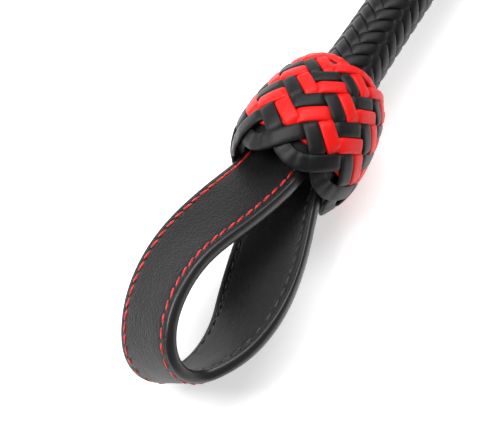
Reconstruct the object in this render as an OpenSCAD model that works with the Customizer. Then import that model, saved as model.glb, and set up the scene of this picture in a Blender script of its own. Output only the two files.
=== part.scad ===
// Braided leather riding crop with a pineapple knot at the butt and a stitched hand loop.
// The crop lies along +X from the knot's mouth to the keeper, with +Z up.

/* [Knot] */
// Radius of the knot where it is fullest
knot_r = 17.3; // [16:0.1:18]
// Distance from the mouth to the knot's fullest part
knot_wide_x = 9.5; // [8:0.5:11]
// How far the knot's round would reach towards the loop
knot_near = 20; // [18:0.5:24]
// How far the knot's round would reach towards the handle
knot_far = 30; // [28:0.5:34]
// Share of the room between its neighbours that a lace fills
lace_fill = 0.9; // [0.75:0.05:0.95]
// Thickness of one knot lace
lace_t = 0.8; // [0.6:0.05:0.9]

/* [Hand loop] */
// Width of the loop's strap
strap_w = 20; // [16:0.5:22]
// Thickness of both leather layers together
strap_t = 3.4; // [2.6:0.1:4]
// Distance of each stitching row from the strap's edge
seam_inset = 2; // [1.5:0.1:3]
// Distance from one stitch to the next along the strap
stitch_pitch = 4.3; // [3:0.1:6]

/* [Handle and shaft] */
// Radius of the plaited handle beside the knot
handle_r = 7.9; // [7:0.1:9]
// Distance from the mouth to the far end of the handle
handle_end_x = 196; // [150:1:220]
// Radius of the collar knot between handle and shaft
collar_r = 11; // [10:0.1:12]
// Radius of the plaited shaft beside the collar
shaft_r = 5.6; // [5:0.1:6]
// Radius of the plaited shaft beside the keeper
shaft_tip_r = 3.4; // [3.1:0.1:3.8]
// Radius of the core rod at the butt
rod_r = 3.5; // [3:0.1:3.8]
// Radius of the core rod at the tip
rod_tip_r = 1.6; // [1.2:0.1:2]

/* [Keeper] */
// Distance from the mouth to the line where the keeper bends
bend_x = 642; // [620:1:680]
// Length of the keeper beyond that line, without its round end
keeper_len = 70; // [50:1:80]
// Width of the keeper at its root
keeper_root_w = 10; // [8:0.5:12]
// Width of the keeper at its end
keeper_w = 26; // [20:1:30]
// Thickness of one keeper leaf
leaf_t = 1.6; // [1.2:0.1:2]

/* [Hidden] */

// Middle line of the strap from the upper side of the mouth round to the lower side.
// Each point is x, y, z and the roll of the strap's width about the X axis.
strap_points = [[0, 2, 3.5, -30], [-8, 3, 5.5, -25], [-20, 5.5, 8, -24], [-34, 8.5, 10, -37],
                [-48, 7, 9, -46], [-56, 2.5, 4.5, -54], [-57, -2.5, -2, -66],
                [-53.5, -7, -8, -66], [-45.5, -11, -6.5, -49], [-35.5, -12, -3, -30],
                [-24.5, -9.5, -3, -18], [-12.5, -6, -4, -24], [0, -2, -3.5, -30]];
strap_steps = 4;              // stations to each stretch between two points
mouth_roll = -30;             // roll of the strap's width at the mouth
tail_w = 10;                  // width of the skived tails under the knot
tail_end_x = 25.2;            // where the tails end, short of the handle
swing_x = -9;                 // where the loop bends
swing_in_r = 9;               // radius of the bend's fixed side
swing_out_r = 9.3;            // radius of the bend's moving side
skin_gap = 0.02;              // gap between two layers that lie on each other
glue_line = 0.2;              // layer of glue between the strap's two leathers
thread_w = 0.9;               // width of a sewn thread
thread_h = 0.35;              // height of a thread on the strap, and depth of the keeper's sunk line
thread_sink = 0.3;            // depth of a thread in the leather

crossings = 14;               // crossings from one edge of a lace to the other
cycles = 8;                   // bights of one lace on each edge
crossing_deg = 11.25;         // turn from one crossing to the next
over_h = 0.55;                // height of an over crossing above the laces' middle surface
lace_start_deg = 58;          // turn of the first black bight at the mouth
rim_soft = 3;                 // crossings over which a lace turns back at its open rim
hidden_soft = 2.2;            // crossings over which it turns back under the other lace
lace_mid_r = knot_r - over_h - lace_t / 2;
foundation_depth = over_h + lace_t / 2 + 0.2;
foundation_x0 = 0.8;          // ends of the ball that the laces are worked over
foundation_x1 = 28.6;
neck_x = 31.5;                // where the ball's neck ends on the handle
cavity_r = 10;                // room for the tails inside the knot
mouth_r = 11.8;               // room for the strap at the mouth
binding_t = 0.7;              // thickness of a thread binding
plait_t = 1.7;                // thickness of the handle's plait
rod_start_x = 8;
rod_end_x = bend_x - 12;
handle_start_x = 26;
handle_end_r = handle_r - 0.5;
shaft_plait_t = 1.3;
collar_x = handle_end_x + 4;
collar_half = 7.5;
fold_r = 4.2;
fold_x0 = bend_x - 38;
keeper_gap = 0.35;            // room between the keeper's bend and its fixed fold
keeper_seam_inset = 2.2;

black = [0.16, 0.16, 0.15];
red = [0.9, 0.16, 0.14];
wood = [0.62, 0.45, 0.28];
fibreglass = [0.85, 0.83, 0.74];
thread = [0.12, 0.12, 0.12];

function rod_radius(x) = rod_r + (rod_tip_r - rod_r) * (x - rod_start_x) / (rod_end_x - rod_start_x);

// A smooth curve through four neighbouring points, from the second to the third
function through(a, b, c, d, t) =
    0.5 * (2 * b + (c - a) * t + (2 * a - 5 * b + 4 * c - d) * t * t + (3 * b - a - 3 * c + d) * t * t * t);
function last(list) = list[len(list) - 1];
function padded(list) = concat([2 * list[0] - list[1]], list, [2 * last(list) - list[len(list) - 2]]);
function curve_at(list, s) =
    let (p = padded(list), i = min(floor(s), len(list) - 2))
    through(p[i], p[i + 1], p[i + 2], p[i + 3], s - i);

// Place, width direction and outward-to-inward direction of a strap at parameter s
function unit(v) = v / norm(v);
function place(q) = [q[0], q[1], q[2]];
function strap_frame(list, s) =
    let (q = curve_at(list, s),
         along = unit(place(curve_at(list, min(s + 0.05, len(list) - 1)))
                      - place(curve_at(list, max(s - 0.05, 0)))),
         flat = [0, cos(q[3]), sin(q[3])],
         across = unit(flat - along * (flat * along)))
    [place(q), across, cross(along, across)];
function strap_ring(frame, section) = [for (p = section) frame[0] + frame[1] * p[0] + frame[2] * p[1]];

// Closed skin over rings that all have the same number of points
module skin(rings, closed = false) {
    n = len(rings);
    m = len(rings[0]);
    spans = closed ? n : n - 1;
    sides = [for (i = [0:spans - 1], j = [0:m - 1])
        let (a = i * m + j, b = i * m + (j + 1) % m,
             c = ((i + 1) % n) * m + (j + 1) % m, d = ((i + 1) % n) * m + j)
        each [[a, b, c], [a, c, d]]];
    ends = closed ? [] : [[for (j = [m - 1:-1:0]) j], [for (j = [0:m - 1]) (n - 1) * m + j]];
    polyhedron(points = [for (r = rings) each r], faces = concat(sides, ends), convexity = 10);
}

// A solid of revolution about the X axis from [x, radius] points
module turned(profile) {
    rotate([0, 90, 0]) rotate_extrude($fn = 96) polygon([for (p = profile) [p[1], p[0]]]);
}

module sleeve(x0, x1, r0, r1, wall) {
    turned([[x0, r0 - wall], [x0, r0], [x1, r1], [x1, r1 - wall]]);
}

// Cylinder about the line where the loop bends
module swing_cylinder(r) {
    translate([swing_x, 0, 0]) rotate([mouth_roll - 90, 0, 0])
        cylinder(r = r, h = 2 * strap_w, center = true, $fn = 96);
}

module beyond_bend() {
    translate([swing_x, -50, -50]) cube([100, 100, 100]);
}

// One layer of the strap between two depths, with its corners eased on the show side.
// Past the stretch skive_from the width narrows to that of a tail.
module strap_layer(list, depth0, depth1, skive_from = 100) {
    ease = 0.5;
    rings = [for (k = [0:(len(list) - 1) * strap_steps])
        let (s = k / strap_steps,
             half = max(tail_w / 2, strap_w / 2 - 6 * max(s - skive_from, 0)),
             show = abs(depth1) > abs(depth0) ? depth1 : depth0,
             core = abs(depth1) > abs(depth0) ? depth0 : depth1,
             bend = sign(show) * ease)
        strap_ring(strap_frame(list, s), show > 0
            ? [[-half, core], [half, core], [half, show - bend], [half - ease, show],
               [ease - half, show], [-half, show - bend]]
            : [[-half, show - bend], [ease - half, show], [half - ease, show], [half, show - bend],
               [half, core], [-half, core]])];
    skin(rings);
}

module loop_layer(depth0, depth1) {
    difference() {
        strap_layer(strap_points, depth0, depth1);
        swing_cylinder(swing_out_r);
        beyond_bend();
    }
}

module loop_outer_leather() {
    color(black) loop_layer(-strap_t / 2, -glue_line / 2);
}

module loop_lining() {
    color(black) loop_layer(glue_line / 2, strap_t / 2);
}

// The strap's stitches, as short threads that stand on one face
stations = 96;
strap_at = [for (k = [0:stations]) place(curve_at(strap_points, k * (len(strap_points) - 1) / stations))];
run = [for (k = 0, sum = 0; k <= stations;
            sum = sum + (k < stations ? norm(strap_at[k + 1] - strap_at[k]) : 0), k = k + 1)
       [sum, k * (len(strap_points) - 1) / stations]];
strap_len = last(run)[0];
seam_start = 22;              // length of strap before the first whole stitch that moves with the loop
module loop_stitches(side) {
    base = side * (strap_t / 2 - thread_sink);
    top = side * (strap_t / 2 + thread_h);
    low = min(base, top);
    high = max(base, top);
    for (row = [-1, 1], at = [seam_start:stitch_pitch:strap_len - seam_start]) {
        mid = row * (strap_w / 2 - seam_inset);
        section = [[mid - thread_w / 2, low], [mid + thread_w / 2, low],
                   [mid + thread_w / 2, high], [mid - thread_w / 2, high]];
        skin([for (end = [0, 0.7]) strap_ring(
            strap_frame(strap_points, lookup(at + end * stitch_pitch, run)), section)]);
    }
}

module loop_red_stitching() {
    color(red) loop_stitches(-1);
}

module loop_black_stitching() {
    color(thread) loop_stitches(1);
}

// The strap's two ends run on under the knot, where they lie against the core rod
module strap_tail(points) {
    intersection() {
        strap_layer(points, -strap_t / 2, strap_t / 2, 2);
        union() {
            swing_cylinder(swing_in_r);
            beyond_bend();
        }
    }
}

tail_side = rod_r + strap_t / 2 + 0.1;
function tail_point(x, side) = [x, -sin(mouth_roll) * side, cos(mouth_roll) * side, mouth_roll];

module strap_tail_upper() {
    upper = [for (i = [2:-1:0]) strap_points[i]];
    color(black) strap_tail(concat(upper, [tail_point(10, tail_side), tail_point(tail_end_x, tail_side)]));
}

module strap_tail_lower() {
    lower = [for (i = [10:12]) strap_points[i]];
    color(black) strap_tail(concat(lower, [tail_point(10, -tail_side), tail_point(tail_end_x, -tail_side)]));
}

module core_rod() {
    color(fibreglass) turned([[rod_start_x, 0], [rod_start_x, rod_r], [rod_end_x, rod_tip_r], [rod_end_x, 0]]);
}

module handle_core() {
    color(wood) difference() {
        sleeve(handle_start_x, handle_end_x, handle_r - plait_t - skin_gap,
               handle_end_r - plait_t - skin_gap, handle_r - plait_t - rod_r - 0.1);
        core_rod();
    }
}

// Middle surface of the knot's laces: its radius at x, its slope, and a point at a height above it
function knot_part(x) = (x - knot_wide_x) / (x < knot_wide_x ? knot_near : knot_far);
function knot_girth(x) = lace_mid_r * sqrt(1 - pow(knot_part(x), 2));
function knot_slope(x) = -lace_mid_r * knot_part(x) / (x < knot_wide_x ? knot_near : knot_far)
    / sqrt(1 - pow(knot_part(x), 2));
function knot_surface(x, h) = let (slope = knot_slope(x), n = norm([1, slope]))
    [x - slope * h / n, knot_girth(x) + h / n];

module knot_foundation() {
    outer = [for (i = [0:16])
        knot_surface(foundation_x0 + (foundation_x1 - foundation_x0) * i / 16, -foundation_depth)];
    neck_r = handle_r + 0.05;
    color(wood) turned(concat(outer, [[neck_x, neck_r + 0.5], [neck_x, neck_r],
        [handle_start_x - 0.3, neck_r], [handle_start_x - 0.3, cavity_r], [12, cavity_r],
        [outer[0][0], mouth_r]]));
}

module tail_binding() {
    color(thread) sleeve(14, 24, cavity_r - 0.05, cavity_r - 0.05, binding_t);
}

// Height of a lace above the middle surface. Counted from the mouth, the falling lace, the red
// one, the rising one and the black one take turns on top.
function crossing_height(level, up, red) =
    [!up, red, up, !red][level % 4] ? over_h : -over_h;
function lace_height(own, up, red) =
    let (rim = red ? crossings - own : own)
    rim < 2 ? (up ? 0.5 : -0.5) * rim * over_h
            : own % crossings == 0 ? -over_h : crossing_height(own + (red ? 2 : 0), up, red);

// Place of a lace between the rims, softened where it turns back
function lace_level(own, red) =
    let (near = red ? hidden_soft : rim_soft, far = red ? rim_soft : hidden_soft, left = crossings - own)
    (red ? 2 : 0) + (own < near ? own * own / 2 / near + near / 2
                     : left < far ? crossings - left * left / 2 / far - far / 2 : own);
function level_x(level) = -3.8 + 3.17 * level - 0.058 * level * level;

// One closed lace that winds over and under round the knot
module knot_lace(red) {
    total = 2 * crossings * cycles;
    path = [for (k = [0:total - 1])
        let (u = k % (2 * crossings), up = u < crossings, own = up ? u : 2 * crossings - u,
             level = lace_level(own, red), x = level_x(level), turn = lace_start_deg + k * crossing_deg,
             p = knot_surface(x, lace_height(own, up, red)),
             gap = knot_girth(x) * crossing_deg * PI / 180,
             step = (level_x(level + 0.5) - level_x(level - 0.5)) * norm([1, knot_slope(x)]))
        [[p[0], p[1] * cos(turn), p[1] * sin(turn)],
         unit([-knot_slope(x), cos(turn), sin(turn)]), lace_fill * 2 * gap * step / norm([gap, step])]];
    rings = [for (k = [0:total - 1])
        let (p = path[k][0], w = path[k][2],
             along = unit(path[(k + 1) % total][0] - path[(k + total - 1) % total][0]),
             across = unit(cross(path[k][1], along)), up = cross(along, across))
        [for (c = [[-w / 2, -lace_t / 2], [w / 2, -lace_t / 2], [w / 2, lace_t / 2], [-w / 2, lace_t / 2]])
            p + across * c[0] + up * c[1]]];
    skin(rings, closed = true);
}

module knot_black_lace() {
    color(black) knot_lace(false);
}

module knot_red_lace() {
    color(red) knot_lace(true);
}

module handle_plait() {
    color(black) sleeve(handle_start_x, handle_end_x, handle_r, handle_end_r, plait_t);
}

module collar_foundation() {
    color(wood) difference() {
        turned([[collar_x - 6, 0], [collar_x - 6, 8.2], [collar_x, 9.2], [collar_x + 6, 8], [collar_x + 6, 0]]);
        turned([[collar_x - 10, 0], [collar_x - 10, handle_r], [handle_end_x + skin_gap, handle_r],
                [handle_end_x + skin_gap, shaft_r + skin_gap], [collar_x + 10, shaft_r + skin_gap],
                [collar_x + 10, 0]]);
    }
}

module collar_ring(x0, x1) {
    difference() {
        turned([[x0, 0], [x0, 10], [x0 + 1, collar_r], [x1 - 1, collar_r], [x1, 10], [x1, 0]]);
        turned([[x0 - 1, 0], [x0 - 1, 9.25], [x1 + 1, 9.25], [x1 + 1, 0]]);
    }
}

module collar_black_lace() {
    color(black) collar_ring(collar_x - collar_half, collar_x - 0.1);
}

module collar_red_lace() {
    color(red) collar_ring(collar_x + 0.1, collar_x + collar_half);
}

module shaft_plait() {
    color(black) difference() {
        turned([[handle_end_x + 0.1, 0], [handle_end_x + 0.1, shaft_r], [fold_x0 - 0.1, shaft_tip_r],
                [fold_x0 - 0.1, 0]]);
        core_rod();
    }
}

// The keeper's leather wraps the rod's tip and flattens towards the bend
module keeper_fold() {
    end_x = bend_x - leaf_t - keeper_gap;
    color(black) difference() {
        union() {
            turned([[fold_x0, 0], [fold_x0, fold_r], [fold_x0 + 24, fold_r], [fold_x0 + 24, 0]]);
            rotate([90, 0, 0]) linear_extrude(height = keeper_root_w, center = true)
                polygon([[fold_x0 + 22, -3.9], [end_x - 4, -leaf_t], [end_x, -leaf_t],
                         [end_x, leaf_t], [end_x - 4, leaf_t], [fold_x0 + 22, 3.9]]);
        }
        core_rod();
    }
}

module keeper_binding() {
    color(thread) sleeve(fold_x0 - 2, fold_x0 + 20, fold_r + 0.8, fold_r + 0.8, 0.75);
}

module keeper_outline() {
    polygon([[0, -keeper_root_w / 2], [keeper_len, -keeper_w / 2], [keeper_len, keeper_w / 2],
             [0, keeper_root_w / 2]]);
    translate([keeper_len, 0]) circle(d = keeper_w, $fn = 72);
}

// Sunk line that the stitches lie in, level with the leather
module keeper_channel() {
    intersection() {
        difference() {
            offset(delta = 0.6 - keeper_seam_inset) keeper_outline();
            offset(delta = -0.6 - keeper_seam_inset) keeper_outline();
        }
        translate([6, -keeper_w]) square([keeper_len + keeper_w, 2 * keeper_w]);
    }
}

module keeper_leaf() {
    translate([bend_x, 0, skin_gap / 2]) difference() {
        linear_extrude(height = leaf_t - skin_gap / 2) keeper_outline();
        translate([0, 0, leaf_t - skin_gap / 2 - thread_h]) linear_extrude(height = 1) keeper_channel();
    }
    intersection() {
        translate([bend_x, 0, 0]) rotate([90, 0, 0])
            cylinder(r = leaf_t, h = keeper_root_w, center = true, $fn = 48);
        translate([bend_x - 5, -20, skin_gap / 2]) cube([5.5, 40, 10]);
    }
}

module keeper_upper_leaf() {
    color(black) keeper_leaf();
}

module keeper_lower_leaf() {
    color(black) mirror([0, 0, 1]) keeper_leaf();
}

module keeper_stitching() {
    slope = (keeper_w - keeper_root_w) / 2 / keeper_len;
    edge = [for (x = [8:stitch_pitch:keeper_len]) [x, keeper_root_w / 2 + x * slope - keeper_seam_inset]];
    arc_r = keeper_w / 2 - keeper_seam_inset;
    arc = [for (a = [80:-20:10]) [keeper_len + arc_r * cos(a), arc_r * sin(a), a]];
    color(red) {
        for (p = edge, side = [-1, 1])
            translate([bend_x + p[0], side * p[1], 0]) rotate([0, 0, side * atan(slope)])
                cube([3.2, thread_w, 2 * leaf_t], center = true);
        for (p = arc, side = [-1, 1])
            translate([bend_x + p[0], side * p[1], 0]) rotate([0, 0, side * (p[2] - 90)])
                cube([3.2, thread_w, 2 * leaf_t], center = true);
    }
}

core_rod();
handle_core();
knot_foundation();
strap_tail_upper();
strap_tail_lower();
tail_binding();
knot_black_lace();
knot_red_lace();
handle_plait();
collar_foundation();
collar_black_lace();
collar_red_lace();
shaft_plait();
keeper_fold();
keeper_binding();
loop_outer_leather();
loop_lining();
loop_red_stitching();
loop_black_stitching();
keeper_upper_leaf();
keeper_lower_leaf();
keeper_stitching();
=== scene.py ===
import math

import bmesh
import bpy
from bpy.props import FloatProperty, FloatVectorProperty, IntProperty, PointerProperty
from bpy.types import Operator, Panel, PropertyGroup
from mathutils import Matrix, Vector


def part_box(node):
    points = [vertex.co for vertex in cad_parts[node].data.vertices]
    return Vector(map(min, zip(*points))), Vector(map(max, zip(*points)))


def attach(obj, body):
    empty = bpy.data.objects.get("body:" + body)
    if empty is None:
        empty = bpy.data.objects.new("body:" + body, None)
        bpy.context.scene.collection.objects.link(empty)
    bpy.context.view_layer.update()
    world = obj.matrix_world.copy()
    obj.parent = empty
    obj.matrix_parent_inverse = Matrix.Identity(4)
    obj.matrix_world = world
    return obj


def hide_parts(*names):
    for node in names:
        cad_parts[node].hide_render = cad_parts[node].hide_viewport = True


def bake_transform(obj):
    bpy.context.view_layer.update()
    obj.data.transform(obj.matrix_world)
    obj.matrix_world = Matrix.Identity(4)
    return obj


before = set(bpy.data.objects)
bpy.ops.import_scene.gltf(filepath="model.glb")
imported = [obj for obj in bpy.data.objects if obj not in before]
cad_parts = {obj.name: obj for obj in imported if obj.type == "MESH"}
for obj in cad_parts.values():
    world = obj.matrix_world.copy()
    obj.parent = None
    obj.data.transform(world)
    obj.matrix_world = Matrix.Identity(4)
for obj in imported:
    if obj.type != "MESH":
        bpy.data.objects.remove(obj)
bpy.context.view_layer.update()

bl_info = {
    "name": "Braided Riding Crop",
    "version": (1, 0, 0),
    "blender": (4, 5, 0),
    "location": "View3D > Sidebar > Crop",
    "description": "Makes the leather, laces, plaits and thread of a braided riding crop",
    "category": "Object",
}

MM = 0.001


def node_span(*nodes):
    """Lowest and highest corner of a group of CAD nodes, in metres."""
    corners = [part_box(node) for node in nodes]
    low = Vector(min(c[0][i] for c in corners) for i in range(3))
    high = Vector(max(c[1][i] for c in corners) for i in range(3))
    return low, high


KNOT_LOW, KNOT_HIGH = node_span("knot_black_lace", "knot_red_lace")
COLLAR_LOW, COLLAR_HIGH = node_span("collar_black_lace", "collar_red_lace")
HANDLE_LOW, HANDLE_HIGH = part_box("handle_plait")
SHAFT_LOW, SHAFT_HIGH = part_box("shaft_plait")
FOLD_LOW, FOLD_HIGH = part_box("keeper_fold")
LEAF_LOW, LEAF_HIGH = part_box("keeper_upper_leaf")
BINDING_LOW, BINDING_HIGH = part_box("keeper_binding")

# Middle line of the hand strap, from the upper side of the knot's mouth round to the lower side:
# x, y and z in millimetres, then the roll of the strap's width about the X axis in degrees.
STRAP_POINTS = [
    (12, 2.6, 4.5, -30), (0, 2, 3.5, -30), (-8, 3, 5.5, -25), (-20, 5.5, 8, -24), (-34, 8.5, 10, -35),
    (-49, 7, 9.5, -44), (-58.5, 2.5, 5, -52), (-60, -2.5, -2, -60), (-55.5, -7.5, -7.6, -60),
    (-45.5, -11, -6.5, -49), (-35.5, -12, -3, -32), (-24.5, -9.5, -3, -20), (-12.5, -6, -4, -24),
    (0, -2, -3.5, -30), (12, -2.6, -4.5, -30)]


def linear(hex_colour):
    """An sRGB hex colour as linear red, green, blue and alpha."""
    parts = [int(hex_colour[i:i + 2], 16) / 255 for i in (1, 3, 5)]
    return tuple(p / 12.92 if p <= 0.04045 else ((p + 0.055) / 1.055) ** 2.4 for p in parts) + (1.0,)


# ---------------------------------------------------------------- sizes and colours


class CropSizes(PropertyGroup):
    strap_width: FloatProperty(
        name="Strap width", description="Width of the hand strap",
        default=20.8 * MM, min=15 * MM, max=24 * MM, unit="LENGTH")
    strap_thickness: FloatProperty(
        name="Strap thickness", description="Thickness of both leather layers of the strap",
        default=3.4 * MM, min=2.4 * MM, max=4.5 * MM, unit="LENGTH")
    seam_inset: FloatProperty(
        name="Seam inset", description="Distance from a stitching row to the strap's edge",
        default=2.4 * MM, min=1.2 * MM, max=4 * MM, unit="LENGTH")
    stitch_pitch: FloatProperty(
        name="Stitch pitch", description="Distance from one stitch to the next",
        default=3 * MM, min=2 * MM, max=7 * MM, unit="LENGTH")
    thread: FloatProperty(
        name="Thread", description="Thickness of the sewing thread",
        default=0.7 * MM, min=0.5 * MM, max=1.4 * MM, unit="LENGTH")
    lace_thickness: FloatProperty(
        name="Lace thickness", description="Thickness of the knot's laces",
        default=1.15 * MM, min=0.6 * MM, max=1.6 * MM, unit="LENGTH")
    handle_strands: IntProperty(
        name="Handle strands", description="Strands in the handle's plait, half of them each way",
        default=16, min=8, max=24)
    shaft_strands: IntProperty(
        name="Shaft strands", description="Strands in the shaft's plait, half of them each way",
        default=12, min=8, max=16)


class CropColours(PropertyGroup):
    black_leather: FloatVectorProperty(
        name="Black leather", description="Dye of the strap and the keeper",
        subtype="COLOR", size=4, min=0, max=1, default=linear("#101010"))
    black_lace: FloatVectorProperty(
        name="Black lace", description="Dye of the black laces and strands",
        subtype="COLOR", size=4, min=0, max=1, default=linear("#0D0E0D"))
    red_lace: FloatVectorProperty(
        name="Red lace", description="Dye of the red laces",
        subtype="COLOR", size=4, min=0, max=1, default=linear("#DE100B"))
    red_thread: FloatVectorProperty(
        name="Red thread", description="Colour of the show stitching",
        subtype="COLOR", size=4, min=0, max=1, default=linear("#D3100F"))
    black_thread: FloatVectorProperty(
        name="Black thread", description="Colour of the under thread and the bindings",
        subtype="COLOR", size=4, min=0, max=1, default=linear("#0C0C0C"))
    edge_paint: FloatVectorProperty(
        name="Edge paint", description="Paint on the strap's cut edges",
        subtype="COLOR", size=4, min=0, max=1, default=linear("#0F100F"))


# ---------------------------------------------------------------- materials


def add_node(tree, kind, settings=None, links=None):
    """Adds one node. Settings name its properties or inputs, and links feed its inputs."""
    node = tree.nodes.new(kind)
    for key, value in (settings or {}).items():
        if isinstance(key, int) or key in node.inputs:
            node.inputs[key].default_value = value
        else:
            setattr(node, key, value)
    for key, source in (links or {}).items():
        tree.links.new(source, node.inputs[key])
    return node


def new_material(name, **shader):
    """A material whose Principled shader takes the plain values given."""
    material = bpy.data.materials.new(name)
    material.use_nodes = True
    tree = material.node_tree
    surface = tree.nodes["Principled BSDF"]
    for key, value in shader.items():
        surface.inputs[key].default_value = value
    return material, tree, surface


def mottled(tree, coords, colour, scale, spread, detail=3.0):
    """A colour that wanders a little lighter and darker, at a scale in cycles per metre."""
    cloud = add_node(tree, "ShaderNodeTexNoise", {"Scale": scale, "Detail": detail}, {"Vector": coords})
    dark = [c * (1 - spread) for c in colour[:3]] + [1]
    light = [min(c * (1 + spread), 1) for c in colour[:3]] + [1]
    ramp = add_node(tree, "ShaderNodeMix", {"data_type": "RGBA"}, {0: cloud.outputs["Fac"]})
    ramp.inputs[6].default_value = dark
    ramp.inputs[7].default_value = light
    return ramp.outputs[2]


def ranged(tree, value, low, high):
    """Maps a 0 to 1 value on to another range."""
    return add_node(tree, "ShaderNodeMapRange", {"To Min": low, "To Max": high},
                    {"Value": value}).outputs["Result"]


def grained_leather(name, colour, grain_mm, depth_mm, roughness):
    """Drum-dyed, plated leather: fine pebbles, with painted shade in the valleys between them and painted
    light on their tops, slow tonal clouds, a soft sheen.
    """
    material, tree, surface = new_material(name, **{"Specular IOR Level": 0.3})
    coords = add_node(tree, "ShaderNodeTexCoord").outputs["Object"]
    warp = add_node(tree, "ShaderNodeTexNoise", {"Scale": 0.6 / (grain_mm * MM), "Detail": 2.0},
                    {"Vector": coords})
    bent = add_node(tree, "ShaderNodeVectorMath", {"operation": "MULTIPLY_ADD"},
                    {0: warp.outputs["Color"], 2: coords})
    bent.inputs[1].default_value = (0.5 * grain_mm * MM,) * 3
    pebbles = add_node(tree, "ShaderNodeTexVoronoi",
                       {"Scale": 1 / (grain_mm * MM), "feature": "SMOOTH_F1", "Smoothness": 0.35},
                       {"Vector": bent.outputs["Vector"]})
    folds = add_node(tree, "ShaderNodeTexNoise", {"Scale": 1 / (9 * MM), "Detail": 4.0, "Roughness": 0.55},
                     {"Vector": coords})
    dye = mottled(tree, coords, colour, 1 / (14 * MM), 0.16)
    # Painted shade: the base colour is darkened in the valleys between the grain's pebbles and lightened a
    # little on their tops.
    painted_valley_shade = ranged(tree, pebbles.outputs["Distance"], 1.12, 0.72)
    colour_with_painted_shading = add_node(tree, "ShaderNodeVectorMath", {"operation": "SCALE"}, {0: dye, "Scale": painted_valley_shade})
    tree.links.new(colour_with_painted_shading.outputs["Vector"], surface.inputs["Base Color"])
    gloss = ranged(tree, folds.outputs["Fac"], roughness - 0.07, roughness + 0.09)
    tree.links.new(gloss, surface.inputs["Roughness"])
    rise = add_node(tree, "ShaderNodeMath", {"operation": "MULTIPLY", 1: -1.0},
                    {0: pebbles.outputs["Distance"]})
    fine = add_node(tree, "ShaderNodeBump", {"Strength": 1.0, "Distance": depth_mm * MM},
                    {"Height": rise.outputs[0]})
    broad = add_node(tree, "ShaderNodeBump", {"Strength": 0.5, "Distance": 0.5 * MM},
                     {"Height": folds.outputs["Fac"], "Normal": fine.outputs["Normal"]})
    tree.links.new(broad.outputs["Normal"], surface.inputs["Normal"])
    return material


def cut_lace(name, colour, roughness, coat_roughness):
    """Kip leather cut into lace: nearly smooth, with faint stretch lines along it and a soft shine."""
    material, tree, surface = new_material(
        name, **{"Specular IOR Level": 0.26, "Coat Weight": 0.03, "Coat Roughness": coat_roughness})
    uv = add_node(tree, "ShaderNodeTexCoord").outputs["UV"]
    coords = add_node(tree, "ShaderNodeTexCoord").outputs["Object"]
    dye = mottled(tree, coords, colour, 1 / (6 * MM), 0.12)
    tree.links.new(dye, surface.inputs["Base Color"])
    lengthwise = add_node(tree, "ShaderNodeMapping", {"vector_type": "POINT"}, {"Vector": uv})
    lengthwise.inputs["Scale"].default_value = (1 / (5 * MM), 1 / (0.5 * MM), 1)
    streaks = add_node(tree, "ShaderNodeTexNoise", {"Scale": 1.0, "Detail": 3.0},
                       {"Vector": lengthwise.outputs["Vector"]})
    pores = add_node(tree, "ShaderNodeTexNoise", {"Scale": 1 / (0.35 * MM), "Detail": 2.0},
                     {"Vector": coords})
    gloss = ranged(tree, streaks.outputs["Fac"], roughness - 0.06, roughness + 0.08)
    tree.links.new(gloss, surface.inputs["Roughness"])
    lines = add_node(tree, "ShaderNodeBump", {"Strength": 0.45, "Distance": 0.08 * MM},
                     {"Height": streaks.outputs["Fac"]})
    grain = add_node(tree, "ShaderNodeBump", {"Strength": 0.6, "Distance": 0.06 * MM},
                     {"Height": pores.outputs["Fac"], "Normal": lines.outputs["Normal"]})
    tree.links.new(grain.outputs["Normal"], surface.inputs["Normal"])
    return material


def painted_edge(name, colour):
    """Acrylic edge paint on cut leather: smooth, rounded and satin, with slow waves left by the brush."""
    material, tree, surface = new_material(name, **{"Roughness": 0.38, "Coat Weight": 0.15,
                                                    "Coat Roughness": 0.3})
    coords = add_node(tree, "ShaderNodeTexCoord").outputs["Object"]
    tree.links.new(mottled(tree, coords, colour, 1 / (4 * MM), 0.1), surface.inputs["Base Color"])
    waves = add_node(tree, "ShaderNodeTexNoise", {"Scale": 1 / (2.2 * MM), "Detail": 2.0},
                     {"Vector": coords})
    bump = add_node(tree, "ShaderNodeBump", {"Strength": 0.35, "Distance": 0.12 * MM},
                    {"Height": waves.outputs["Fac"]})
    tree.links.new(bump.outputs["Normal"], surface.inputs["Normal"])
    return material


def waxed_thread(name, colour, ply_mm):
    """Twisted polyester thread drawn through wax: slanting plies, with a painted highlight along each ply
    and painted shade between them.
    """
    material, tree, surface = new_material(name, **{"Roughness": 0.45, "Sheen Weight": 0.25,
                                                    "Sheen Roughness": 0.4})
    uv = add_node(tree, "ShaderNodeTexCoord").outputs["UV"]
    turned_uv = add_node(tree, "ShaderNodeMapping", {}, {"Vector": uv})
    turned_uv.inputs["Rotation"].default_value = (0, 0, math.radians(38))
    plies = add_node(tree, "ShaderNodeTexWave",
                     {"Scale": 1 / (ply_mm * MM) / 6.28, "Distortion": 0.6, "Detail": 1.0,
                      "wave_profile": "SIN"}, {"Vector": turned_uv.outputs["Vector"]})
    # Painted highlight and shade: the base colour is lighter along each ply and darker in the grooves
    # between plies.
    shade = ranged(tree, plies.outputs["Fac"], 0.45, 1.1)
    colour_with_painted_shading = add_node(tree, "ShaderNodeVectorMath", {"operation": "SCALE", 0: colour[:3]}, {"Scale": shade})
    tree.links.new(colour_with_painted_shading.outputs["Vector"], surface.inputs["Base Color"])
    bump = add_node(tree, "ShaderNodeBump", {"Strength": 0.8, "Distance": 0.15 * MM},
                    {"Height": plies.outputs["Fac"]})
    tree.links.new(bump.outputs["Normal"], surface.inputs["Normal"])
    return material


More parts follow.
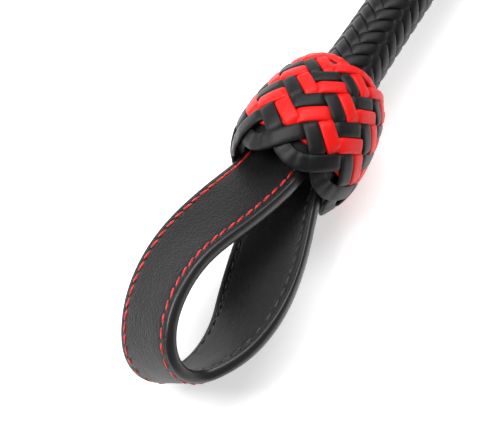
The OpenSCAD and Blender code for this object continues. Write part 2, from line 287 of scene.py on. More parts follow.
def turned_wood(name):
    """Lathe-turned beech: pale, with growth rings stretched along the crop."""
    material, tree, surface = new_material(name, **{"Roughness": 0.6})
    coords = add_node(tree, "ShaderNodeTexCoord").outputs["Object"]
    along = add_node(tree, "ShaderNodeMapping", {}, {"Vector": coords})
    along.inputs["Scale"].default_value = (0.06, 1, 1)
    tree.links.new(mottled(tree, along.outputs["Vector"], linear("#B98D5E"), 1 / (1.2 * MM), 0.25),
                   surface.inputs["Base Color"])
    return material


def pultruded_glass(name):
    """Pultruded fibreglass rod: creamy resin with fine glass fibres along it."""
    material, tree, surface = new_material(name, **{"Roughness": 0.35, "Coat Weight": 0.2})
    coords = add_node(tree, "ShaderNodeTexCoord").outputs["Object"]
    along = add_node(tree, "ShaderNodeMapping", {}, {"Vector": coords})
    along.inputs["Scale"].default_value = (0.02, 1, 1)
    tree.links.new(mottled(tree, along.outputs["Vector"], linear("#E0DAC4"), 1 / (0.3 * MM), 0.12),
                   surface.inputs["Base Color"])
    return material


def studio_paper(name):
    """White studio paper under a bright wash of light."""
    material, tree, surface = new_material(name, **{"Roughness": 0.9, "Specular IOR Level": 0.1,
                                                    "Emission Color": linear("#FFFFFF"),
                                                    "Emission Strength": 0.52})
    coords = add_node(tree, "ShaderNodeTexCoord").outputs["Object"]
    tree.links.new(mottled(tree, coords, linear("#F6F6F6"), 1 / (30 * MM), 0.01),
                   surface.inputs["Base Color"])
    return material


def make_materials(colours):
    return {
        "strap_leather": grained_leather("plated_strap_leather", colours.black_leather, 0.55, 0.10, 0.46),
        "lining_leather": grained_leather("plated_lining_leather", colours.black_leather, 0.45, 0.07, 0.52),
        "black_lace": cut_lace("black_cut_lace", colours.black_lace, 0.40, 0.30),
        "red_lace": cut_lace("red_cut_lace", colours.red_lace, 0.42, 0.32),
        "plait_strand": cut_lace("black_plait_strand", colours.black_lace, 0.36, 0.26),
        "edge_paint": painted_edge("black_edge_paint", colours.edge_paint),
        "red_thread": waxed_thread("red_waxed_thread", colours.red_thread, 0.8),
        "black_thread": waxed_thread("black_waxed_thread", colours.black_thread, 0.8),
        "wood": turned_wood("turned_beech"),
        "fibreglass": pultruded_glass("pultruded_fibreglass"),
    }


MATERIALS = {}


# ---------------------------------------------------------------- shared making


def new_piece(name, bm, material, body=None, smooth=True):
    """Turns a bmesh into a piece at the origin, with outward faces and its material."""
    bmesh.ops.recalc_face_normals(bm, faces=bm.faces)
    mesh = bpy.data.meshes.new(name)
    bm.to_mesh(mesh)
    bm.free()
    for face in mesh.polygons:
        face.use_smooth = smooth
    mesh.materials.append(MATERIALS[material])
    piece = bpy.data.objects.new(name, mesh)
    bpy.context.scene.collection.objects.link(piece)
    if body:
        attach(piece, body)
    return piece


def through(a, b, c, d, t):
    """A smooth curve through four neighbouring values, from the second to the third."""
    return 0.5 * (2 * b + (c - a) * t + (2 * a - 5 * b + 4 * c - d) * t * t
                  + (3 * b - a - 3 * c + d) * t ** 3)


def eased(part):
    """Holds a part between 0 and 1, with a gentle start and finish."""
    part = min(max(part, 0), 1)
    return part * part * (3 - 2 * part)


def sheath(bm, stations, ring, closed):
    """Sweeps a closed ring of (across, out) offsets along stations of (point, across, out, scale).

    A grid gives the skin's faces and a UV map in metres; its last row is merged with its first.
    """
    count, around = len(stations), len(ring)
    spans = count if closed else count - 1
    uv = bm.loops.layers.uv.verify()
    made = bmesh.ops.create_grid(bm, x_segments=spans, y_segments=around, size=0.5, calc_uvs=True)
    lengths = [0.0]
    for k in range(spans):
        lengths.append(lengths[-1] + (stations[(k + 1) % count][0] - stations[k][0]).length)
    girth = sum((Vector(ring[j]) - Vector(ring[j - 1])).length for j in range(around))
    verts = made["verts"]
    for face in {f for v in verts for f in v.link_faces}:
        for loop in face.loops:
            s = round((loop.vert.co.x + 0.5) * spans)
            loop[uv].uv = (lengths[s], (loop.vert.co.y + 0.5) * girth)
    for v in verts:
        s = round((v.co.x + 0.5) * spans) % count
        j = round((v.co.y + 0.5) * around) % around
        point, across, out, scale = stations[s]
        v.co = point + across * (ring[j][0] * scale) + out * ring[j][1]
    bmesh.ops.remove_doubles(bm, verts=verts, dist=0.002 * MM)
    if not closed:
        ends = [e for e in bm.edges if e.is_boundary]
        bmesh.ops.holes_fill(bm, edges=ends, sides=around)


def lace_ring(width, thickness, crown):
    """Section of a flat lace with rounded edges and a slightly crowned face."""
    half, low, high = width / 2, -thickness / 2, thickness / 2
    ease = min(0.32 * thickness, 0.25 * half)
    return [(-half, low + ease), (-half + ease, low), (half - ease, low), (half, low + ease),
            (half, high - ease - crown), (half - 0.4 * ease, high - 0.35 * ease - crown),
            (half - 1.5 * ease, high - 0.7 * crown), (half * 0.35, high - 0.1 * crown),
            (-half * 0.35, high - 0.1 * crown), (-half + 1.5 * ease, high - 0.7 * crown),
            (-half + 0.4 * ease, high - 0.35 * ease - crown), (-half, high - ease - crown)]


def over_under(k, first_over, tuck):
    """Height, from -1 to 1, of a strand that goes over two and under two."""
    phase = (k - first_over) % 4
    if phase > 2.5:
        phase -= 4
    rise = eased((phase + 0.5) / tuck + 0.5)
    fall = eased((phase - 1.5) / tuck + 0.5)
    return 2 * (rise - fall) - 1


def finish_stations(points, outs, scales, closed):
    """Adds the across direction to a path, from its run and its outward direction."""
    count = len(points)
    stations = []
    for k, point in enumerate(points):
        ahead = points[(k + 1) % count] if closed or k < count - 1 else point
        behind = points[k - 1] if closed or k else point
        run = (ahead - behind).normalized()
        across = outs[k].cross(run).normalized()
        stations.append((point, across, run.cross(across).normalized(), scales[k]))
    return stations


# ---------------------------------------------------------------- hand strap


STRAP_STEPS = 12    # stations from one of the strap's points to the next
EDGE_REACH = 10     # distance in millimetres from the middle line to each edge
EDGE_PASSES = 60    # times that each edge is evened
STRAP_PATH = []


def evened(vectors, passes):
    """Draws a row of vectors smooth by averaging neighbours, its two ends kept."""
    for _ in range(passes):
        inner = [(a + 2 * b + c) / 4 for a, b, c in zip(vectors, vectors[1:], vectors[2:])]
        vectors = [vectors[0]] + inner + [vectors[-1]]
    return vectors


def strap_path():
    """Point and width direction of the strap at every step round it, worked out once."""
    if not STRAP_PATH:
        points, last = STRAP_POINTS, len(STRAP_POINTS) - 1
        rows = []
        for k in range(last * STRAP_STEPS + 1):
            i = min(k // STRAP_STEPS, last - 1)
            near = (points[min(max(j, 0), last)] for j in (i - 1, i, i + 1, i + 2))
            rows.append([through(*four, k / STRAP_STEPS - i) for four in zip(*near)])
        places = [Vector(row[:3]) for row in rows]
        edges = [], []
        for k, row in enumerate(rows):
            run = (places[min(k + 1, len(rows) - 1)] - places[max(k - 1, 0)]).normalized()
            across = Vector((0, math.cos(math.radians(row[3])), math.sin(math.radians(row[3]))))
            across = (across - run * across.dot(run)).normalized() * EDGE_REACH
            for edge, side in zip(edges, (1, -1)):
                edge.append(places[k] + across * side)
        # Both edges are drawn smooth, so that neither turns a sharp corner at the loop's end.
        left, right = (evened(edge, EDGE_PASSES) for edge in edges)
        STRAP_PATH.extend(((a + b) / 2, (a - b).normalized()) for a, b in zip(left, right))
    return STRAP_PATH


def strap_place(s):
    """Point, width direction and inward direction of the strap at parameter s along its points."""
    path = strap_path()
    i = min(int(s * STRAP_STEPS), len(path) - 2)
    part = s * STRAP_STEPS - i
    here, across = (a.lerp(b, part) for a, b in zip(path[i], path[i + 1]))
    step = path[i + 1][0] - path[i][0]
    wide_step = path[min(i + 2, len(path) - 1)][0] - path[max(i - 1, 0)][0]
    run = step.lerp(wide_step, 0.5)
    run.normalize()
    across = (across - run * across.dot(run)).normalized()
    return here * MM, across, run.cross(across)


def strap_stations():
    """Evenly counted stations round the whole strap; its width narrows only under the knot."""
    last = len(STRAP_POINTS) - 1
    stations = []
    for k in range(last * STRAP_STEPS + 1):
        s = k / STRAP_STEPS
        point, across, inward = strap_place(s)
        hidden = max(1 - s, s - (last - 1), 0)
        stations.append((point, across, inward, 1 - 0.35 * hidden))
    return stations


def strap_lengths():
    """Pairs of length along the strap and parameter, for placing stitches evenly."""
    steps = 300
    last = len(STRAP_POINTS) - 1
    table = [(0.0, 0.0)]
    before = strap_place(0)[0]
    for k in range(1, steps + 1):
        s = last * k / steps
        here = strap_place(s)[0]
        table.append((table[-1][0] + (here - before).length, s))
        before = here
    return table


def parameter_at(table, length):
    """The strap's parameter at a length along it."""
    for (l0, s0), (l1, s1) in zip(table, table[1:]):
        if length <= l1:
            return s0 + (s1 - s0) * (length - l0) / (l1 - l0)
    return table[-1][1]


def bend_with_loop(piece):
    """Bakes the piece's placement into its mesh."""
    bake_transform(piece)


def leather_ring(half, face, core, seam, side):
    """Section of one strap layer: a face with a sunk line along each seam, and a flat back."""
    sink, swell, lip = 0.15 * MM, 0.06 * MM, 0.6 * MM
    marks = [(half - 0.42 * MM, -0.5 * MM), (half - 0.62 * MM, -0.24 * MM), (half - 0.95 * MM, -0.06 * MM),
             (seam + lip, 0), (seam, -sink), (seam - lip, 0), (seam - 2.4 * lip, swell * 0.7),
             (half * 0.42, swell), (0, swell)]
    show = [(w, face + side * rise) for w, rise in marks]
    show += [(-w, n) for w, n in reversed(show[:-1])]
    edge = marks[0][0]
    return [(-edge, core), (edge, core)] + show


def edge_ring(half, thickness, side):
    """Section of the painted edge: one round roll over both layers' cut edges."""
    roll, reach = 0.9 * MM, thickness / 2
    inner = half - roll
    arc = [(inner + roll * math.cos(a), (reach - 0.09 * MM) * math.sin(a))
           for a in (math.radians(d) for d in range(-90, 91, 18))]
    bead = [(inner - 0.1 * MM, -0.6 * reach)] + arc + [(inner - 0.1 * MM, 0.6 * reach)]
    return [(side * w, n) for w, n in bead]


def stitch_row(bm, table, sizes, row, face, sunk, slant):
    """Stitches along one row: each a short round thread that dips into the leather at both ends."""
    length = table[-1][0]
    half = sizes.strap_width / 2
    depth = face * (sizes.strap_thickness / 2 - sunk)
    mid = row * (half - sizes.seam_inset)
    uv = bm.loops.layers.uv.verify()
    start = 9 * MM
    count = int((length - 2 * start) / sizes.stitch_pitch)
    for k in range(count + 1):
        s = parameter_at(table, start + k * sizes.stitch_pitch)
        point, across, inward = strap_place(s)
        run = across.cross(inward)
        turn = Matrix.Rotation(slant * row, 3, inward)
        axes = Matrix((turn @ run, turn @ across, inward)).transposed().to_4x4()
        place = Matrix.Translation(point + across * mid + inward * depth) @ axes
        shape = Matrix.Diagonal((sizes.stitch_pitch * 0.48, sizes.thread / 2, sizes.thread * 0.42, 1))
        made = bmesh.ops.create_uvsphere(bm, u_segments=8, v_segments=8, radius=1,
                                         matrix=Matrix.Rotation(math.pi / 2, 4, "Y"), calc_uvs=True)
        for patch in {f for v in made["verts"] for f in v.link_faces}:
            for loop in patch.loops:
                x = loop.vert.co.x
                loop[uv].uv = (x * sizes.stitch_pitch * 0.42 + k * sizes.stitch_pitch,
                               math.atan2(loop.vert.co.z, loop.vert.co.y) * sizes.thread / 2)
        for v in made["verts"]:
            x = v.co.x
            # The ball is fattened towards its ends, so that the thread stays full up to its holes.
            fat = 1
            if abs(x) < 0.999:
                fat = (1 - abs(x) ** 3) ** 0.55 / max((1 - x * x) ** 0.5, 0.05)
            v.co = place @ shape @ Vector((x, v.co.y * fat, v.co.z * fat))


class CROP_OT_hand_strap(Operator):
    """Makes the hand strap: outer leather, lining and painted edges, bent round into the loop"""

    bl_idname = "crop.hand_strap"
    bl_label = "Hand strap"

    def execute(self, context):
        sizes = context.scene.crop_sizes
        half, thick = sizes.strap_width / 2, sizes.strap_thickness
        seam = half - sizes.seam_inset
        stations = strap_stations()
        outer = bmesh.new()
        sheath(outer, stations, leather_ring(half, -thick / 2, -0.02 * MM, seam, -1), closed=False)
        piece = new_piece("strap_outer_leather", outer, "strap_leather")
        bend_with_loop(piece)
        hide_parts("loop_outer_leather", "strap_tail_upper", "strap_tail_lower")
        lining = bmesh.new()
        sheath(lining, stations, leather_ring(half, thick / 2, 0.02 * MM, seam, 1), closed=False)
        piece = new_piece("strap_lining_leather", lining, "lining_leather")
        bend_with_loop(piece)
        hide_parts("loop_lining")
        for name, side in (("strap_edge_left", 1), ("strap_edge_right", -1)):
            bead = bmesh.new()
            sheath(bead, stations, edge_ring(half, thick, side), closed=False)
            bend_with_loop(new_piece(name, bead, "edge_paint"))
        return {"FINISHED"}


class CROP_OT_strap_stitching(Operator):
    """Sews the strap: two rows of red thread on the outside and two of black on the lining"""

    bl_idname = "crop.strap_stitching"
    bl_label = "Strap stitching"

    def execute(self, context):
        sizes = context.scene.crop_sizes
        table = strap_lengths()
        for name, face, sunk, material, node in (
                ("strap_red_stitches", -1, 0.08 * MM, "red_thread", "loop_red_stitching"),
                ("strap_black_stitches", 1, 0.24 * MM, "black_thread", "loop_black_stitching")):
            bm = bmesh.new()
            for row in (-1, 1):
                stitch_row(bm, table, sizes, row, face, sunk, math.radians(8))
            piece = new_piece(name, bm, material)
            bend_with_loop(piece)
            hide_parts(node)
        return {"FINISHED"}


# ---------------------------------------------------------------- knots


class Ball:
    """The round body that a pineapple knot is worked over, and the crossings' places along it."""

    def __init__(self, radius, wide_x, near, far, levels, bights, level_x):
        self.radius, self.wide_x, self.near, self.far = radius, wide_x, near, far
        self.levels, self.bights, self.level_x = levels, bights, level_x
        self.turn = math.pi / 2 / bights

    def girth(self, x):
        """Radius at x, and its slope."""
        reach = self.near if x < self.wide_x else self.far
        part = (x - self.wide_x) / reach
        height = math.sqrt(max(1 - part * part, 0.04))
        return self.radius * height, -self.radius * part / reach / height


def crossing_height(level, climbing, red):
    """Which lace is on top at a crossing: 1 if this one is, else -1.

    Counted from the mouth, the four kinds of crossing follow each other: the falling lace is on
    top, the red one, the rising one, and the black one.
    """
    on_top = (not climbing, red, climbing, not red)[level % 4]
    return 1.0 if on_top else -1.0


def rounded_level(own, span, near_soft, far_soft):
    """Level of a lace along the ball, with its turn at each rim rounded over so many levels."""
    if own < near_soft:
        return own * own / (2 * near_soft) + near_soft / 2
    if span - own < far_soft:
        return span - (span - own) ** 2 / (2 * far_soft) - far_soft / 2
    return own


def knot_lace(ball, red, start_turn, lift, soft, fill, bight_width):
    """One closed lace of the knot: it rises to the far rim, turns and comes back, over two and
    under two, until it meets its own start. The red lace lies two crossings further along."""
    per, span = 9, ball.levels
    total = 2 * span * ball.bights
    rim_is_near = not red
    rim_soft, hidden_soft = soft
    near_soft, far_soft = (hidden_soft, rim_soft) if red else (rim_soft, hidden_soft)

    def height_at(t):
        u = t % (2 * span)
        climbing = u < span
        own = u if climbing else 2 * span - u
        side = own if rim_is_near else span - own
        if side < 2:
            leaving = climbing if rim_is_near else not climbing
            rising = 1 if rim_is_near else -1
            return rising * (0.5 if leaving else -0.5) * side
        if min(own, span - own) == 0:
            return -1.0
        return crossing_height(own + 2 * red, climbing, red)

    points, outs, scales = [], [], []
    for k in range(total * per):
        t = k / per
        whole = int(t)
        ease = eased((t - whole - 0.5) / 0.62 + 0.5)
        height = height_at(whole) * (1 - ease) + height_at(whole + 1) * ease
        u = t % (2 * span)
        own = u if u < span else 2 * span - u
        level = rounded_level(own, span, near_soft, far_soft) + 2 * red
        x = ball.level_x(level)
        girth, slope = ball.girth(x)
        around = start_turn + t * ball.turn
        out = Vector((-slope, math.cos(around), math.sin(around))).normalized()
        points.append(Vector((x, girth * math.cos(around), girth * math.sin(around)))
                      + out * (height * lift))
        outs.append(out)
        step = (ball.level_x(level + 0.5) - ball.level_x(level - 0.5)) * math.hypot(1, slope)
        gap = girth * ball.turn
        room = 2 * gap * step / math.hypot(gap, step)
        rim = own if rim_is_near else span - own
        share = max(1 - rim / 2.5, 0)
        scales.append(room * fill * (1 - share) + bight_width * share)
    return finish_stations(points, outs, scales, closed=True)


def lace_ring(thickness, crown):
    """Section of a flat lace, its width as a fraction: rounded edges and a slightly crowned face."""
    low, high, ease = -thickness / 2, thickness / 2, 0.3 * thickness
    face = [(0.5, high - crown - ease), (0.475, high - crown - 0.3 * ease),
            (0.41, high - 0.5 * crown), (0.2, high - 0.1 * crown)]
    return ([(-0.5, low + ease), (-0.46, low), (0.46, low), (0.5, low + ease)]
            + face + [(-w, n) for w, n in reversed(face)])


def lace_up(ball, start_turn, thickness, lift, soft, fill, bight_width, prefix):
    """Works both laces of a knot round its ball.

    soft is how many levels the turns take at the rim that shows and at the hidden one, fill is
    the laces' width as a share of their room, and bight_width is for the black and the red turns.
    """
    for colour, red in (("black", False), ("red", True)):
        stations = knot_lace(ball, red, start_turn, lift, soft, fill, bight_width[red])
        bm = bmesh.new()
        sheath(bm, stations, lace_ring(thickness, 0.2 * thickness), closed=True)
        piece = new_piece(f"{prefix}_{colour}_lacing", bm, colour + "_lace",
                          "handle")
        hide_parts(f"{prefix}_{colour}_lace")


class CROP_OT_pineapple_knot(Operator):
    """Works the pineapple knot: a black and a red lace that interlace over the whole ball"""

    bl_idname = "crop.pineapple_knot"
    bl_label = "Pineapple knot"

    def execute(self, context):
        thickness = context.scene.crop_sizes.lace_thickness
        lift = 0.55 * MM
        # Fullest near the mouth, and drawn in over a longer stretch towards the handle.
        ball = Ball(17.3 * MM - lift - thickness / 2, wide_x=9.5 * MM, near=20 * MM, far=30 * MM,
                    levels=14, bights=8,
                    level_x=lambda level: (-3.8 + 3.17 * level - 0.058 * level * level) * MM)
        lace_up(ball, math.radians(58), thickness, lift, soft=(2.3, 2.9), fill=1.02,
                bight_width=(4.7 * MM, 2.4 * MM), prefix="knot")
        return {"FINISHED"}


class CROP_OT_collar_knot(Operator):
    """Works the small collar knot that covers the step from the handle to the shaft"""

    bl_idname = "crop.collar_knot"
    bl_label = "Collar knot"

    def execute(self, context):
        thickness, lift = 0.9 * MM, 0.42 * MM
        mid_x = (COLLAR_LOW.x + COLLAR_HIGH.x) / 2
        half = (COLLAR_HIGH.x - COLLAR_LOW.x) / 2
        ball = Ball(COLLAR_HIGH.z - lift - thickness / 2, wide_x=mid_x, near=1.45 * half,
                    far=1.45 * half, levels=6, bights=5,
                    level_x=lambda level: mid_x + (level - 4) * half / 3.6)
        lace_up(ball, 0, thickness, lift, soft=(1.8, 1.4), fill=0.92,
                bight_width=(3.2 * MM, 2.8 * MM), prefix="collar")
        return {"FINISHED"}


# ---------------------------------------------------------------- plaits


def plait_strand(start_x, end_x, radius_at, strands, index, hand, slope, lift, per):
    """One strand of a round plait, over two and under two, at a slope to the plait's girth."""
    turn = 2 * math.pi / strands
    points, outs, scales = [], [], []
    x, k = start_x, 0
    while x < end_x:
        level = k / per
        radius = radius_at(x)
        phase = 2 * index + level if hand > 0 else 2 * index - level
        height = over_under(phase if hand > 0 else -phase, 0 if hand > 0 else -3, 0.6)
        around = phase * turn
        reach = radius + height * lift
        points.append(Vector((x, reach * math.cos(around), reach * math.sin(around))))
        outs.append(Vector((0, math.cos(around), math.sin(around))))
        scales.append(4 * math.pi * radius / strands * math.sin(slope))
        x += radius * turn * math.tan(slope) / per
        k += 1
    return finish_stations(points, outs, scales, closed=False)


def round_plait(start_x, end_x, radius_at, strands, slope, lift, thickness, crown, fill, per):
    """Every strand of a plait, half of them winding each way round it."""
    bm = bmesh.new()
    for hand in (1, -1):
        for index in range(strands // 2):
            stations = plait_strand(start_x, end_x, radius_at, strands, index, hand, slope, lift, per)
            sheath(bm, stations, strand_ring(fill, thickness, crown), closed=False)
    return bm


def strand_ring(width, thickness, crown):
    """Section of a plaited strand, more rounded than a flat lace."""
    half, low, high = width / 2, -thickness / 2, thickness / 2
    face = [(half, high - crown - 0.3 * thickness), (half * 0.82, high - crown),
            (half * 0.4, high - 0.25 * crown)]
    return [(-half * 0.9, low), (half * 0.9, low)] + face + [(-w, n) for w, n in reversed(face)]


def handle_radius(x):
    """The handle swells a little where it comes out of the pineapple knot."""
    along = min(max((x - HANDLE_LOW.x) / (HANDLE_HIGH.x - HANDLE_LOW.x), 0), 1)
    swell = 0.8 * MM * math.exp(-max(x - 31 * MM, 0) / (6 * MM))
    return HANDLE_HIGH.z - 0.5 * MM * along + swell - 0.9 * MM


def shaft_radius(x):
    """The shaft tapers evenly from the collar knot to the keeper's binding."""
    tip_r = BINDING_HIGH.z - 1.6 * MM
    along = min(max((x - SHAFT_LOW.x) / (SHAFT_HIGH.x - SHAFT_LOW.x), 0), 1)
    return SHAFT_HIGH.z + (tip_r - SHAFT_HIGH.z) * along - 0.5 * MM


class CROP_OT_handle_plait(Operator):
    """Plaits the handle's cover from black strands"""

    bl_idname = "crop.handle_plait"
    bl_label = "Handle plait"

    def execute(self, context):
        strands = context.scene.crop_sizes.handle_strands
        bm = round_plait(HANDLE_LOW.x - 1 * MM, HANDLE_HIGH.x, handle_radius, strands,
                         slope=math.radians(36), lift=0.27 * MM, thickness=0.75 * MM,
                         crown=0.22 * MM, fill=0.99, per=4)
        piece = new_piece("handle_plaiting", bm, "plait_strand", "handle")
        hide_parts("handle_plait")
        return {"FINISHED"}


class CROP_OT_shaft_plait(Operator):
    """Plaits the tapering cover of the shaft from narrower black strands"""

    bl_idname = "crop.shaft_plait"
    bl_label = "Shaft plait"

    def execute(self, context):
        strands = context.scene.crop_sizes.shaft_strands
        bm = round_plait(SHAFT_LOW.x, SHAFT_HIGH.x, shaft_radius, strands,
                         slope=math.radians(38), lift=0.22 * MM, thickness=0.6 * MM,
                         crown=0.25 * MM, fill=0.98, per=3)
        piece = new_piece("shaft_plaiting", bm, "plait_strand", "handle")
        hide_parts("shaft_plait")
        return {"FINISHED"}


# ---------------------------------------------------------------- keeper


def keeper_half_width(x):
    """Half width of the keeper: narrow at its root, widening to a round end."""
    root_x = LEAF_LOW.x
    half = LEAF_HIGH.y
    round_x = LEAF_HIGH.x - half
    narrow = FOLD_HIGH.y
    if x > round_x:
        return math.sqrt(max(half * half - (x - round_x) ** 2, 0))
    return narrow + (half - narrow) * max(x - root_x, 0) / (round_x - root_x)


def keeper_leaf(side):
    """One leaf of the keeper, from its wrap round the rod's tip to its round end."""
    bm = bmesh.new()
    uv = bm.loops.layers.uv.verify()
    columns, rows = 90, 14
    leaf = LEAF_HIGH.z
    wrap_r = FOLD_HIGH.z
    start_x = FOLD_LOW.x
    flat_x = LEAF_LOW.x - 3 * MM
    open_x = flat_x - 12 * MM
    made = bmesh.ops.create_grid(bm, x_segments=columns, y_segments=rows, size=0.5, calc_uvs=True)
    for v in made["verts"]:
        s, t = v.co.x + 0.5, v.co.y * 2
        end = LEAF_HIGH.x
        x = start_x + (end - start_x) * (1 - (1 - s) ** 1.35)
        ease = eased((x - open_x) / (flat_x - open_x))
        half = keeper_half_width(x)
        angle = t * math.pi / 2
        wrap = Vector((0, wrap_r * math.sin(angle), wrap_r * math.cos(angle) + 0.02 * MM))
        flat = Vector((0, half * t, leaf))
        v.co = Vector((x, 0, 0)) + wrap * (1 - ease) + flat * ease
        v.co.z *= side
    for face in bm.faces:
        for loop in face.loops:
            loop[uv].uv = (loop.vert.co.x, loop.vert.co.y)
    bmesh.ops.remove_doubles(bm, verts=bm.verts, dist=0.01 * MM)
    bmesh.ops.recalc_face_normals(bm, faces=bm.faces)
    outward = sum(f.normal.z * f.calc_area() for f in bm.faces) * side
    if outward < 0:
        bmesh.ops.reverse_faces(bm, faces=bm.faces)
    bmesh.ops.solidify(bm, geom=bm.faces[:], thickness=leaf - 0.03 * MM)
    rim = [e for e in bm.edges if len(e.link_faces) == 2 and e.calc_face_angle() > math.radians(50)]
    bmesh.ops.bevel(bm, geom=rim, offset=0.3 * MM, offset_type="OFFSET", segments=2, profile=0.5,
                    affect="EDGES", material=-1)
    return bm


def keeper_seam(pitch):
    """Place and turn of each stitch on one half of the keeper: down its side and round its end."""
    inset = 2.2 * MM
    round_x = LEAF_HIGH.x - LEAF_HIGH.y
    x = LEAF_LOW.x + 8 * MM
    marks = []
    while x < round_x:
        slope = (keeper_half_width(x + MM) - keeper_half_width(x)) / MM
        marks.append((x, keeper_half_width(x) - inset, math.atan(slope)))
        x += pitch
    arc = LEAF_HIGH.y - inset
    steps = int(arc * math.pi / 2 / pitch)
    for k in range(1, steps + 1):
        a = math.pi / 2 * (1 - k / (steps + 0.5))
        marks.append((round_x + arc * math.cos(a), arc * math.sin(a), a - math.pi / 2))
    return marks


class CROP_OT_keeper(Operator):
    """Makes the keeper: two leather leaves folded on the rod's tip, and sewn"""

    bl_idname = "crop.keeper"
    bl_label = "Keeper"

    def execute(self, context):
        sizes = context.scene.crop_sizes
        for name, side, nodes in (("keeper_top_leather", 1, ("keeper_upper_leaf", "keeper_fold")),
                                  ("keeper_under_leather", -1, ("keeper_lower_leaf",))):
            piece = new_piece(name, keeper_leaf(side), "strap_leather")
            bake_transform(piece)
            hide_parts(*nodes)
        bm = bmesh.new()
        shape = Matrix.Diagonal((sizes.stitch_pitch * 0.42, sizes.thread / 2, sizes.thread * 0.4, 1))
        for x, y, turn in keeper_seam(sizes.stitch_pitch):
            for row in (-1, 1):
                for face in (-1, 1):
                    place = Matrix.Translation((x, row * y, face * LEAF_HIGH.z))
                    bmesh.ops.create_uvsphere(
                        bm, u_segments=8, v_segments=6, radius=1, calc_uvs=True,
                        matrix=place @ Matrix.Rotation(row * turn, 4, "Z") @ shape
                        @ Matrix.Rotation(math.pi / 2, 4, "Y"))
        stitches = new_piece("keeper_red_stitches", bm, "red_thread")
        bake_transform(stitches)
        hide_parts("keeper_stitching")
        return {"FINISHED"}


class CROP_OT_keeper_binding(Operator):
    """Whips waxed thread round the keeper's root, turn against turn"""

    bl_idname = "crop.keeper_binding"
    bl_label = "Keeper binding"

    def execute(self, context):
        thread = 0.75 * MM
        radius = BINDING_HIGH.z - thread / 2
        per = 24
        turns = int((BINDING_HIGH.x - BINDING_LOW.x - thread) / (thread * 0.98))
        points, outs = [], []
        for k in range(turns * per + 1):
            a = 2 * math.pi * k / per
            x = BINDING_LOW.x + thread / 2 + thread * 0.98 * k / per
            outs.append(Vector((0, math.cos(a), math.sin(a))))
            points.append(Vector((x, 0, 0)) + outs[-1] * radius)
        stations = finish_stations(points, outs, [1.0] * len(points), closed=False)
        ring = [(thread / 2 * math.cos(math.pi / 3 * j), thread / 2 * math.sin(math.pi / 3 * j))
                for j in range(6)]
        bm = bmesh.new()
        sheath(bm, stations, ring, closed=False)
        piece = new_piece("keeper_whipping", bm, "black_thread", "handle")
        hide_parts("keeper_binding")
        return {"FINISHED"}


class CROP_OT_inner_parts(Operator):
    """Gives the parts under the leather their wood, fibreglass and thread"""

    bl_idname = "crop.inner_parts"
    bl_label = "Inner parts"

    def execute(self, context):
        for node, material in (("core_rod", "fibreglass"), ("handle_core", "wood"),
                               ("knot_foundation", "black_lace"), ("collar_foundation", "black_lace"),
                               ("tail_binding", "black_thread")):
            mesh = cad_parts[node].data
            mesh.materials.clear()
            mesh.materials.append(MATERIALS[material])
        return {"FINISHED"}


# ---------------------------------------------------------------- stage


def area_light(name, place, target, size, power):
    """A soft box at a place, turned to face a target."""
    data = bpy.data.lights.new(name, "AREA")
    data.shape = "RECTANGLE"
    data.size, data.size_y = size
    data.energy = power
    light = bpy.data.objects.new(name, data)
    light.location = place
    light.rotation_euler = (Vector(target) - Vector(place)).to_track_quat("-Z", "Y").to_euler()
    bpy.context.scene.collection.objects.link(light)


def studio_floor():
    """The floor leans a little, because the crop rests on its knot and on the end of its keeper."""
    knot_foot = Vector(((KNOT_LOW.x + KNOT_HIGH.x) / 2, 0, KNOT_LOW.z))
    keeper_foot = Vector((LEAF_HIGH.x, 0, -LEAF_HIGH.z))
    lean = math.atan2(keeper_foot.z - knot_foot.z, keeper_foot.x - knot_foot.x)
    bm = bmesh.new()
    bmesh.ops.create_grid(bm, x_segments=1, y_segments=1, size=3.0)
    bmesh.ops.rotate(bm, verts=bm.verts, matrix=Matrix.Rotation(-lean, 3, "Y"))
    bmesh.ops.translate(bm, verts=bm.verts, vec=knot_foot)
    mesh = bpy.data.meshes.new("studio_floor")
    bm.to_mesh(mesh)
    bm.free()
    mesh.materials.append(studio_paper("white_studio_paper"))
    floor = bpy.data.objects.new("studio_floor", mesh)
    bpy.context.scene.collection.objects.link(floor)


def place_camera(azimuth, elevation, distance, sideways, downwards):
    """Sets the camera so far from the knot's mouth, looking down along the two angles, then shifts it."""
    ahead = Vector((math.cos(elevation) * math.cos(azimuth),
                    math.cos(elevation) * math.sin(azimuth), -math.sin(elevation)))
    right = Vector((math.sin(azimuth), -math.cos(azimuth), 0))
    up = right.cross(ahead)
    data = bpy.data.cameras.new("camera")
    data.sensor_width = 36
    data.lens = 157.8
    data.clip_start = 0.01
    camera = bpy.data.objects.new("camera", data)
    camera.matrix_world = Matrix((right, up, -ahead)).transposed().to_4x4()
    camera.location = -right * sideways - up * downwards - ahead * distance
    bpy.context.scene.collection.objects.link(camera)
    bpy.context.scene.camera = camera


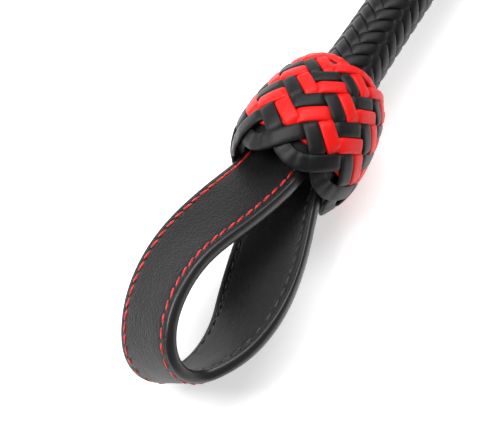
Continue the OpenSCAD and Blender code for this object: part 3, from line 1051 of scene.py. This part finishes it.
class CROP_OT_stage(Operator):
    """Sets the pale floor, the soft lights and the camera"""

    bl_idname = "crop.stage"
    bl_label = "Stage"

    def execute(self, context):
        scene = context.scene
        studio_floor()
        world = bpy.data.worlds.new("studio_surround")
        scene.world = world
        world.use_nodes = True
        world.node_tree.nodes["Background"].inputs["Color"].default_value = linear("#FFFFFF")
        world.node_tree.nodes["Background"].inputs["Strength"].default_value = 0.26
        area_light("key_softbox", (-0.25, 0.45, 0.75), (0, 0, 0), (0.6, 0.6), 9.5)
        area_light("top_softbox", (0.40, 0.15, 0.8), (0.02, 0, 0), (0.7, 0.4), 5.5)
        scene.view_settings.view_transform = "Standard"

        # Down at 65 degrees, turned 31.5 degrees from the crop's axis, with the loop's end in view.
        place_camera(math.radians(31.46), math.radians(64.92), 554.2 * MM, 7.66 * MM, 9.82 * MM)
        return {"FINISHED"}


class CROP_PT_tools(Panel):
    bl_label = "Riding Crop"
    bl_idname = "CROP_PT_tools"
    bl_space_type = "VIEW_3D"
    bl_region_type = "UI"
    bl_category = "Crop"

    def draw(self, context):
        layout = self.layout
        for group in (context.scene.crop_sizes, context.scene.crop_colours):
            box = layout.box()
            for key in group.bl_rna.properties.keys():
                if key not in {"rna_type", "name"}:
                    box.prop(group, key)
        for operator in OPERATORS:
            layout.operator(operator.bl_idname)


OPERATORS = (
    CROP_OT_stage,
    CROP_OT_hand_strap,
    CROP_OT_strap_stitching,
    CROP_OT_pineapple_knot,
    CROP_OT_handle_plait,
    CROP_OT_collar_knot,
    CROP_OT_shaft_plait,
    CROP_OT_keeper,
    CROP_OT_keeper_binding,
    CROP_OT_inner_parts,
)
CLASSES = (CropSizes, CropColours, CROP_PT_tools) + OPERATORS


def register():
    for cls in CLASSES:
        bpy.utils.register_class(cls)
    bpy.types.Scene.crop_sizes = PointerProperty(type=CropSizes)
    bpy.types.Scene.crop_colours = PointerProperty(type=CropColours)


def unregister():
    del bpy.types.Scene.crop_colours
    del bpy.types.Scene.crop_sizes
    for cls in reversed(CLASSES):
        bpy.utils.unregister_class(cls)


def main():
    register()
    MATERIALS.update(make_materials(bpy.context.scene.crop_colours))
    for operator in OPERATORS:
        group, name = operator.bl_idname.split(".")
        getattr(getattr(bpy.ops, group), name)()


if __name__ == "__main__":
    main()
